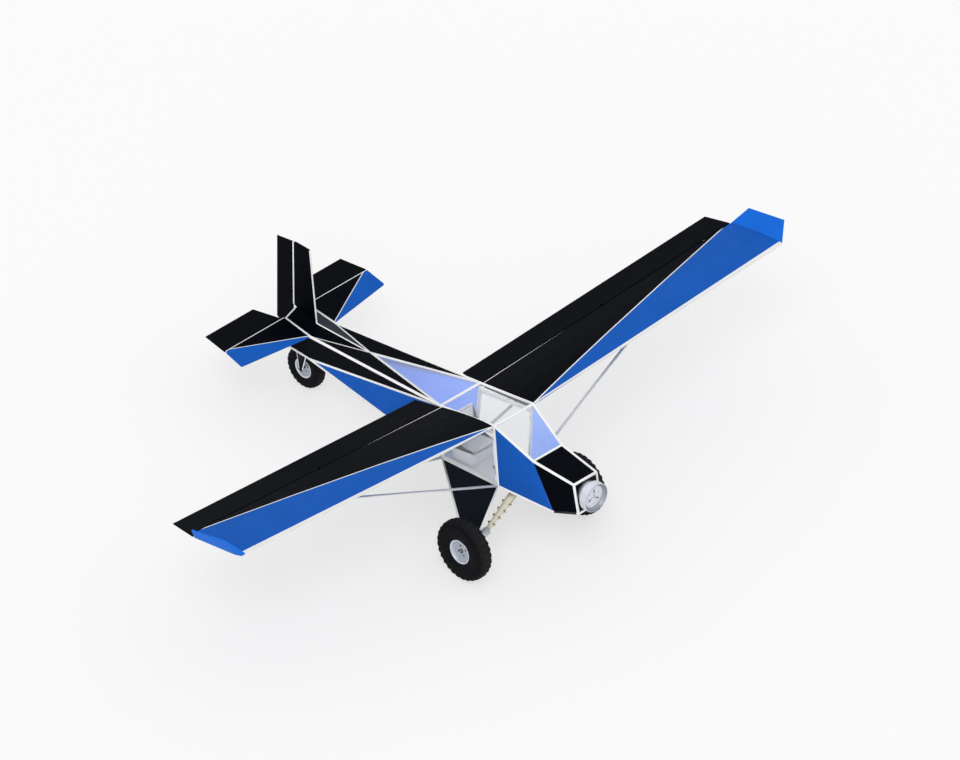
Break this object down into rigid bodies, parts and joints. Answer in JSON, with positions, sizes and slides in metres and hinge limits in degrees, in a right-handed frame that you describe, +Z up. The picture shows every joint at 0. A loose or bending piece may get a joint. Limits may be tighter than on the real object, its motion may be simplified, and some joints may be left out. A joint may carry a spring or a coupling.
{
  "type": "bush plane",
  "caption": "High-wing tail-wheel light aeroplane: glazed cabin with hinged doors, strut-braced wings, full-span flaperons, balloon tyres, sprung gear and a drum motor at the nose.",
  "frame": {"origin": "on the ground under the middle of the aeroplane's length and span, as it parks on its three tyres", "axes": "+X to the nose, +Y to the pilot's left along the span, +Z up; the fuselage is pitched about 8 degrees nose up"},
  "size_m": [5.7814, 9.8652, 2.2959],
  "materials": {
    "white_enamel": "gloss white enamel on welded tube",
    "black_fabric": "painted black covering, satin",
    "blue_fabric": "painted blue covering, satin",
    "glazing": "thin clear acrylic",
    "door_glazing": "thin clear acrylic in the door",
    "aluminium": "machined aluminium",
    "hub_metal": "cast and machined wheel",
    "motor_metal": "brushed rotor drum",
    "pale_enamel": "pale grey enamel",
    "tan_enamel": "tan enamel on the sleeves",
    "black_enamel": "satin black enamel",
    "tyre_rubber": "matt black rubber",
    "seat_cloth": "grey woven cloth"
  },
  "bodies": {
    "airframe": {"fuselage_frame": "white_enamel", "windshield": "glazing", "roof_glass": "glazing", "rear_glass": "glazing", "cowl_top": "black_fabric", "firewall": "black_enamel", "cowl_side_left": "black_fabric", "cowl_side_right": "black_fabric", "forward_side_left": "blue_fabric", "forward_side_right": "blue_fabric", "aft_side_lower_left": "blue_fabric", "aft_side_lower_right": "blue_fabric", "aft_side_upper_left": "black_fabric", "aft_side_upper_right": "black_fabric", "aft_top_left": "black_fabric", "aft_top_right": "black_fabric", "tail_top_left": "black_fabric", "tail_top_right": "black_fabric", "belly_skin": "black_fabric", "wing_left": "blue_fabric", "wing_right": "blue_fabric", "lift_strut_front_left": "pale_enamel", "lift_strut_front_right": "pale_enamel", "lift_strut_rear_left": "pale_enamel", "lift_strut_rear_right": "pale_enamel", "fin": "black_fabric", "stabilizer_left": "blue_fabric", "stabilizer_right": "blue_fabric", "gear_leg_left": "white_enamel", "gear_leg_right": "white_enamel", "gear_cover_left": "black_enamel", "gear_cover_right": "black_enamel", "shock_strut_left": "tan_enamel", "shock_strut_right": "tan_enamel", "shock_mount": "aluminium", "motor_mount": "aluminium", "seat": "seat_cloth", "control_stick": "black_enamel", "rudder_pedals": "aluminium", "instrument_panel": "black_enamel"},
    "flaperon_left": {"flaperon_left": "black_fabric"},
    "flaperon_right": {"flaperon_right": "black_fabric"},
    "rudder": {"rudder": "black_fabric"},
    "elevator": {"elevator": "black_fabric"},
    "door_left": {"door_frame_left": "white_enamel", "door_glass_left": "door_glazing"},
    "door_right": {"door_frame_right": "white_enamel", "door_glass_right": "door_glazing"},
    "main_wheel_left": {"tyre_main_left": "tyre_rubber", "hub_main_left": "hub_metal"},
    "main_wheel_right": {"tyre_main_right": "tyre_rubber", "hub_main_right": "hub_metal"},
    "tail_fork": {"tail_fork": "black_enamel"},
    "tail_wheel": {"tyre_tail": "tyre_rubber", "hub_tail": "hub_metal"},
    "motor": {"motor_drum": "motor_metal"}
  },
  "joints": [
    {"name": "motor_spin", "type": "hinge", "parent": "airframe", "child": "motor", "pos_m": [2.76371, 0, 1.51869], "axis": [0.9904, 0, 0.1384], "continuous": true},
    {"name": "wheel_left_spin", "type": "hinge", "parent": "airframe", "child": "main_wheel_left", "pos_m": [1.68524, 1.0075, 0.41736], "axis": [0, 1, 0], "continuous": true},
    {"name": "wheel_right_spin", "type": "hinge", "parent": "airframe", "child": "main_wheel_right", "pos_m": [1.68524, -1.0075, 0.41736], "axis": [0, 1, 0], "continuous": true},
    {"name": "tail_steer", "type": "hinge", "parent": "airframe", "child": "tail_fork", "pos_m": [-2.11407, 0, 0.59988], "axis": [-0.1384, 0, 0.9904], "range_deg": [-30, 30]},
    {"name": "tail_wheel_spin", "type": "hinge", "parent": "tail_fork", "child": "tail_wheel", "pos_m": [-2.13363, 0, 0.28818], "axis": [0, 1, 0], "continuous": true},
    {"name": "rudder_hinge", "type": "hinge", "parent": "airframe", "child": "rudder", "pos_m": [-2.52847, 0, 1.32552], "axis": [-0.1511, 0, 0.9885], "range_deg": [-25, 25]},
    {"name": "elevator_hinge", "type": "hinge", "parent": "airframe", "child": "elevator", "pos_m": [-2.44151, 0, 0.99942], "axis": [0, 1, 0], "range_deg": [-25, 25]},
    {"name": "flaperon_left_hinge", "type": "hinge", "parent": "airframe", "child": "flaperon_left", "pos_m": [0.43521, 0.8, 1.57743], "axis": [-0.0081, 0.9983, 0.0579], "range_deg": [-30, 20]},
    {"name": "flaperon_right_hinge", "type": "hinge", "parent": "airframe", "child": "flaperon_right", "pos_m": [0.43521, -0.8, 1.57743], "axis": [-0.0081, -0.9983, 0.0579], "range_deg": [-20, 30]},
    {"name": "door_left_hinge", "type": "hinge", "parent": "airframe", "child": "door_left", "pos_m": [1.44887, 0.28703, 0.9707], "axis": [0.154, -0.0595, -0.9863], "range_deg": [0, 70]},
    {"name": "door_right_hinge", "type": "hinge", "parent": "airframe", "child": "door_right", "pos_m": [1.44887, -0.28703, 0.9707], "axis": [-0.154, -0.0595, 0.9863], "range_deg": [0, 70]}
  ]
}
